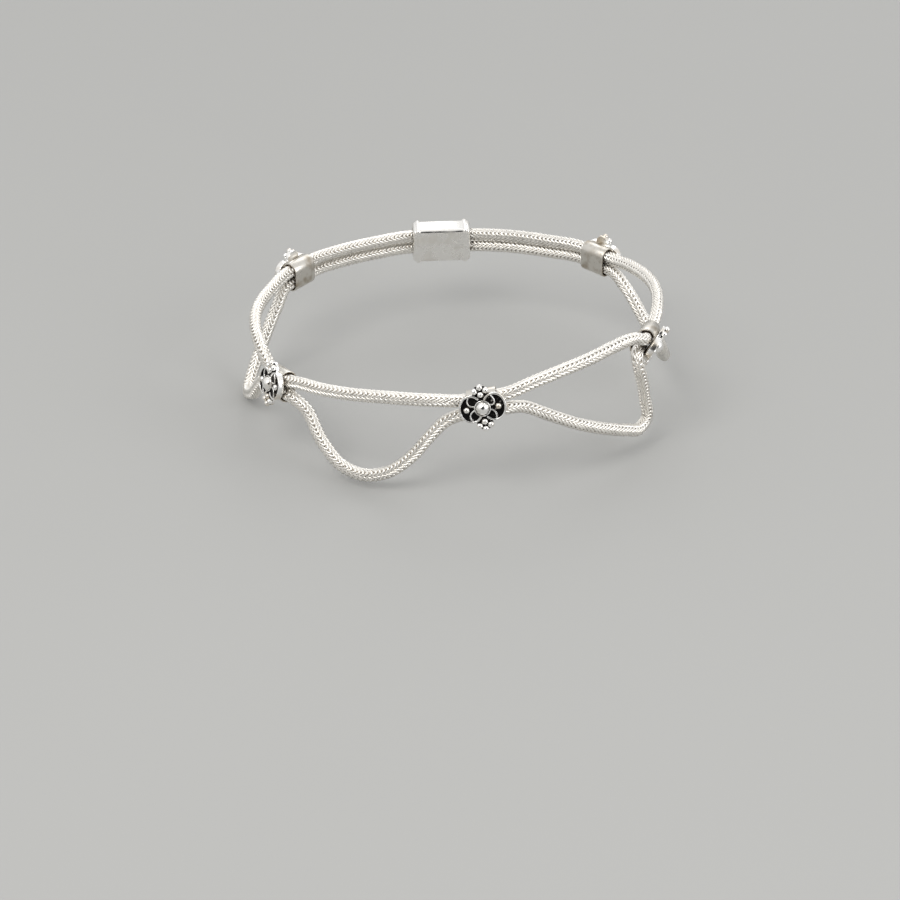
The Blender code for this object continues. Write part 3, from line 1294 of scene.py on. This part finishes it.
@dataclass
class Clasp:
    """One plain rounded box with a band at each end and four sockets.

    A band's rounding is a share of its width, and its height is what it
    stands proud of the box.
    """

    loop: Loop = Loop()
    wall: float = 0.9 * MM
    rounding: float = 0.8 * MM
    band_width: float = 1.2 * MM
    band_inset: float = 0.5 * MM
    band_height: float = 0.16 * MM
    band_rounding: float = 0.48
    box_steps: int = 4
    socket_steps: int = 40
    margin: float = 0.01 * MM

    def block(self, name: str, size: Vector, rounding: float, across: float = 0.0) -> Object:
        """Make a block with rounded edges.

        Args:
            name: The block's name.
            size: Its size.
            rounding: How far the rounding of its edges reaches.
            across: How far along the clasp it sits.

        Returns:
            The block.
        """
        lay_down_tools()
        bpy.ops.mesh.primitive_cube_add(size=1, location=(across, 0, 0))
        item = bpy.context.object
        item.name = name
        item.scale = size
        settle(item)
        soften(item, rounding, self.box_steps)
        return item

    def build(self, silver: Material, bore: Material) -> Object:
        """Make the clasp at its place behind the ankle.

        Args:
            silver: The polished finish.
            bore: The finish inside the sockets, a painted shade.

        Returns:
            The clasp.
        """
        radius = self.loop.bore
        depth = 2 * (radius + self.wall)
        height = self.loop.pitch + depth
        body = self.block("clasp_box", Vector((self.loop.clasp, depth, height)), self.rounding)
        grown = 2 * self.band_height
        for side in (1, -1):
            across = side * (self.loop.clasp / 2 - self.band_inset - self.band_width / 2)
            size = Vector((self.band_width, depth + grown, height + grown))
            band = self.block(f"band_{side}", size, self.band_width * self.band_rounding, across)
            cut(body, band, Cut.ADD)
        for side in (1, -1):
            for level in Level:
                lay_down_tools()
                bpy.ops.mesh.primitive_cylinder_add(
                    vertices=self.socket_steps, radius=radius, depth=2 * self.loop.socket,
                    location=(side * self.loop.clasp / 2, 0, level.value * self.loop.pitch / 2),
                    rotation=(0, math.radians(90), 0),
                )
                cut(body, bpy.context.object, Cut.TAKE)
        dress(body, silver, bore)
        # Faces inside the sockets get the brown painted shade.
        bottom = self.loop.clasp / 2 - self.loop.socket
        for face in body.data.polygons:
            up = math.copysign(self.loop.pitch / 2, face.center.z)
            inside = math.hypot(face.center.y, face.center.z - up) < radius + self.margin
            if inside and abs(face.center.x) > bottom - self.margin:
                face.material_index = 1
        smooth(body)
        body.data.transform(self.loop.seat(CLASP))
        return body


# The stage


@dataclass(frozen=True)
class Lamp:
    """One soft square light, its place in metres and its power in watts."""

    name: str
    place: tuple[float, float, float]
    power: float
    colour: Colour
    size: float = 0.5


LAMPS = (
    Lamp("key", (-0.35, -0.45, 0.75), 3.2, (1.0, 0.985, 0.96)),
    Lamp("fill", (0.7, -0.35, 0.35), 2.1, (0.985, 0.99, 1.0)),
    Lamp("back", (0.1, 0.7, 0.5), 0.9, (1.0, 1.0, 1.0)),
)

# Greys of the sky by height, and of the dark card by distance from its middle
SKY = ((0.45, 0.3), (0.53, 0.85), (0.8, 1.0))
CARD = ((0.36, 0.03), (0.6, 1.0))
SKY_STRENGTH = 0.96


@dataclass
class Studio:
    """Camera, floor and soft light."""

    lens: float = 110.0
    sensor: float = 36.0
    distance: float = 0.55
    elevation: float = 30.0
    seen_at: Pair = (457.0, 330.0)
    picture: float = 900.0
    near: float = 0.01
    floor_level: float = -0.0158
    floor_size: float = 6.0
    floor_finish: PlainFinish = PlainFinish("floor", (0.385, 0.385, 0.375), (0.4, 0.4, 0.39), 0.9, 3.0)

    def camera(self) -> None:
        """Set the camera so that the origin falls on its place in the picture."""
        focal = self.lens / self.sensor * self.picture
        drop = math.atan((self.seen_at[1] - self.picture / 2) / focal)
        pitch = math.radians(self.elevation) - drop
        shift = (self.seen_at[0] - self.picture / 2) / focal * self.distance * math.cos(drop)
        data = bpy.data.cameras.new("camera")
        data.lens = self.lens
        data.sensor_width = self.sensor
        data.clip_start = self.near
        camera = new_object("camera", data)
        lift = math.radians(self.elevation)
        camera.location = (-shift, -self.distance * math.cos(lift), self.distance * math.sin(lift))
        camera.rotation_euler = (math.pi / 2 - pitch, 0, 0)
        bpy.context.scene.camera = camera

    def floor(self) -> Object:
        """Lay a pale floor under the anklet.

        Returns:
            The floor.
        """
        lay_down_tools()
        bpy.ops.mesh.primitive_plane_add(size=self.floor_size, location=(0, 0, self.floor_level))
        item = bpy.context.object
        item.name = "floor"
        settle(item)
        dress(item, self.floor_finish.material())
        return item

    def light(self, lamp: Lamp) -> None:
        """Hang one soft light that points at the anklet.

        Args:
            lamp: What it is like.
        """
        data = bpy.data.lights.new(lamp.name, "AREA")
        data.size = lamp.size
        data.energy = lamp.power
        data.color = lamp.colour
        item = new_object(lamp.name, data)
        item.location = lamp.place
        item.rotation_euler = (-item.location).to_track_quat("-Z", "Y").to_euler()

    def world(self) -> None:
        """Surround the scene with a plain pale sky, with one dark card in front."""
        world = bpy.data.worlds.new("studio")
        bpy.context.scene.world = world
        world.use_nodes = True
        tree = world.node_tree
        place = tree.nodes.new("ShaderNodeTexCoord")
        split = tree.nodes.new("ShaderNodeSeparateXYZ")
        tree.links.new(place.outputs["Generated"], split.inputs["Vector"])
        height = map_range(tree, split.outputs["Z"], (-1.0, 1.0), (0.0, 1.0))
        sky, card = (tuple((place, (grey,) * 3) for place, grey in stops) for stops in (SKY, CARD))
        near = tree.nodes.new("ShaderNodeVectorMath")
        near.operation = "DISTANCE"
        lift = math.radians(self.elevation)
        near.inputs[1].default_value = (0, -math.cos(lift), math.sin(lift))
        tree.links.new(place.outputs["Generated"], near.inputs[0])
        colour = multiply(tree, colour_ramp(tree, height, sky), colour_ramp(tree, near.outputs["Value"], card))
        background = tree.nodes["Background"]
        tree.links.new(colour, background.inputs["Color"])
        background.inputs["Strength"].default_value = SKY_STRENGTH

    def build(self) -> Object:
        """Set up the whole stage.

        Returns:
            The floor.
        """
        self.camera()
        self.world()
        for lamp in LAMPS:
            self.light(lamp)
        return self.floor()


def show(item: Object, slot: str, *nodes: str) -> None:
    """Put a finished piece on the part and report it.

    Args:
        item: The piece.
        slot: The record's material slot that its finish comes from; not used.
        nodes: The part's nodes that it stands for.
    """
    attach(item, "root")
    if nodes:
        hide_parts(*nodes)
    triangles = sum(len(face.vertices) - 2 for face in item.data.polygons)
    log.info("%s: %d triangles", item.name, triangles)


def main() -> None:
    """Build every piece in order."""
    logging.basicConfig(level=logging.INFO, format="%(name)s %(message)s")
    woven = WovenFinish().material()
    polished = PolishedFinish().material()
    black = BlackenedFinish().material()
    satin = PolishedFinish("satin_silver", (0.66, 0.635, 0.585), (0.42, 0.37, 0.3), 0.32).material()
    calm = PolishedFinish("clasp_silver", (0.93, 0.915, 0.885), (0.84, 0.815, 0.77), 0.24).material()
    # Painted shade: dark brown for the inside of the sleeves and the sockets.
    brown = PlainFinish("painted_shade_bore", (0.08, 0.05, 0.026), (0.3, 0.22, 0.13), 0.5, 900.0, 0.3).material()
    # Painted shade: a near-black colour for the tube in the heart of each chain.
    dark = PlainFinish("painted_shade_core", (0.035, 0.028, 0.02), (0.06, 0.048, 0.036), 0.7, 800.0, 0.3).material()

    for node, level in (("strand_upper", Level.UPPER), ("strand_lower", Level.LOWER)):
        chain = WovenChain(node, level)
        show(chain.build(woven), "woven_silver", node)
        show(chain.core(dark), "woven_silver")

    ornament = FlowerOrnament()
    model = ornament.build(polished, black, satin, brown)
    for station in ORNAMENTS:
        show(ornament.place(model, station), "polished_silver", station.name)
    bpy.data.objects.remove(model, do_unlink=True)

    show(Clasp().build(calm, brown), "polished_silver", "clasp")

    Studio().build()
    bpy.context.scene.view_settings.view_transform = "Standard"


if __name__ == "__main__":
    main()
